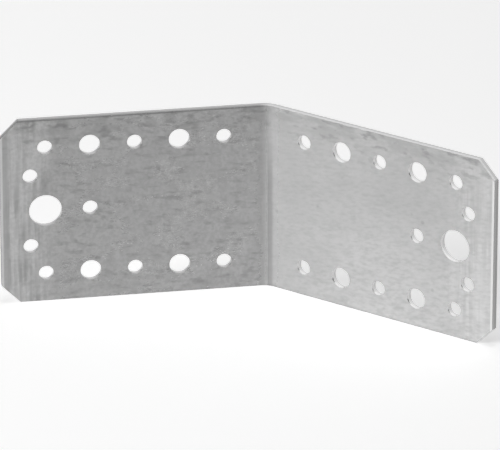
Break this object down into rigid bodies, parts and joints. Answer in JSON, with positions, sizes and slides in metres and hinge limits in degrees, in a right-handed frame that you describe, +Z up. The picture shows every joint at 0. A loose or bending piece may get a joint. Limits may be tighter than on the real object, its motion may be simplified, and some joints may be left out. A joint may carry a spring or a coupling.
{
  "type": "angle bracket",
  "caption": "Obtuse angle bracket folded from galvanised sheet steel, with clipped corners and punched nail, screw and bolt holes for joining timbers at a slant.",
  "frame": {"origin": "foot of the fold on the bottom edge, where the middle planes of the two legs meet", "axes": "+Z up along the fold, X across the two legs, -Y towards the open inner side of the angle"},
  "size_m": [0.1676, 0.0364, 0.065],
  "materials": {
    "galvanised_steel": "zinc-coated sheet, dull bright, with fine ripples along the rolling direction"
  },
  "bodies": {
    "root": {"angle_bracket": "galvanised_steel"}
  },
  "joints": []
}
